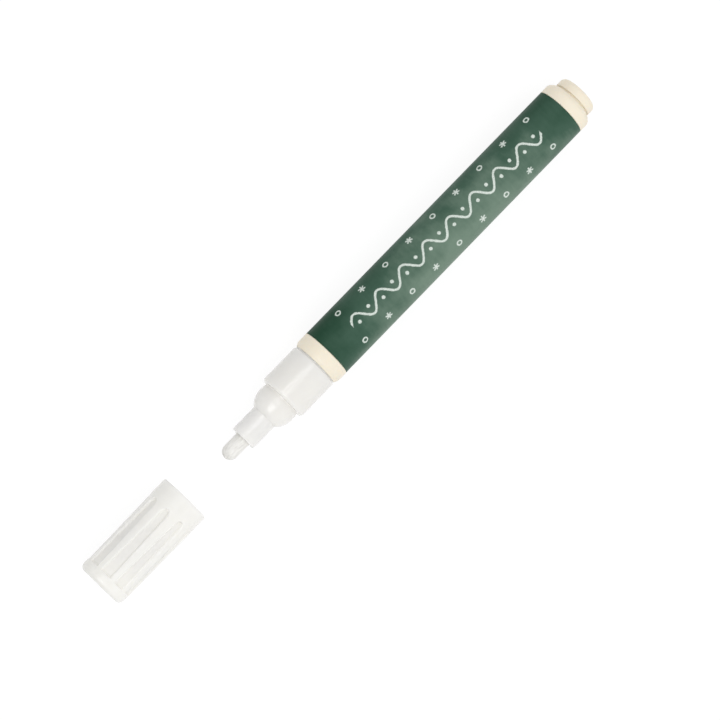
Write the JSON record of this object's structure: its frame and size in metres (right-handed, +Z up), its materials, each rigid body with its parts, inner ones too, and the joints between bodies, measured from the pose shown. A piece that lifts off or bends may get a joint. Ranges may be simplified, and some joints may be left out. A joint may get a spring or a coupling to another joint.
{
  "type": "liquid chalk marker",
  "caption": "Round pump-valve chalk marker with a wrapped label, a stepped translucent nozzle, a sprung bullet nib and a panelled pull-off cap lying off its tip.",
  "frame": {"origin": "on the surface that the marker lies on, under the middle of the whole part with the cap lying off the tip", "axes": "+X along the marker towards the writing tip and the cap, +Y to the side, +Z up"},
  "size_m": [0.1852, 0.015, 0.015],
  "materials": {
    "cream_plastic": "cream moulded polypropylene, soft satin gloss",
    "label_film": "printed film, clouded dark green with a pale mint print, satin",
    "nozzle_plastic": "natural translucent polypropylene, milky white, glossy",
    "nib_fibre": "bonded polyester fibre, matte white, fine grain along its length",
    "valve_plastic": "natural polyethylene, matte",
    "spring_steel": "drawn stainless spring wire",
    "ball_steel": "polished stainless steel ball",
    "cap_plastic": "clear-milky translucent polypropylene, glossy",
    "liner_plastic": "natural polyethylene, soft matte"
  },
  "bodies": {
    "marker": {"barrel": "cream_plastic", "label": "label_film", "tail_plug": "cream_plastic", "nozzle": "nozzle_plastic", "valve_sleeve": "valve_plastic", "valve_cover": "valve_plastic", "valve_spring": "spring_steel"},
    "nib": {"nib": "nib_fibre"},
    "valve_core": {"valve_core": "valve_plastic"},
    "mixing_ball": {"mixing_ball": "ball_steel"},
    "cap": {"cap_shell": "cap_plastic", "cap_liner": "liner_plastic"}
  },
  "joints": [
    {"name": "cap_pull", "type": "slide", "parent": "marker", "child": "cap", "axis": [1, 0, 0], "range_m": [-0.03715, 0]},
    {"name": "nib_press", "type": "slide", "parent": "marker", "child": "nib", "axis": [-1, 0, 0], "range_m": [0, 0.0025], "stiffness_N_per_m": 600, "springref_m": -0.0015, "deforming": ["valve_spring"]},
    {"name": "core_lift", "type": "slide", "parent": "marker", "child": "valve_core", "axis": [-1, 0, 0], "range_m": [0, 0.0025]},
    {"name": "ball_roll", "type": "slide", "parent": "marker", "child": "mixing_ball", "axis": [1, 0, 0], "range_m": [-0.0298, 0.0448]}
  ],
  "couplings": [
    {"joint": "core_lift", "follows": "nib_press", "ratio": 1}
  ]
}
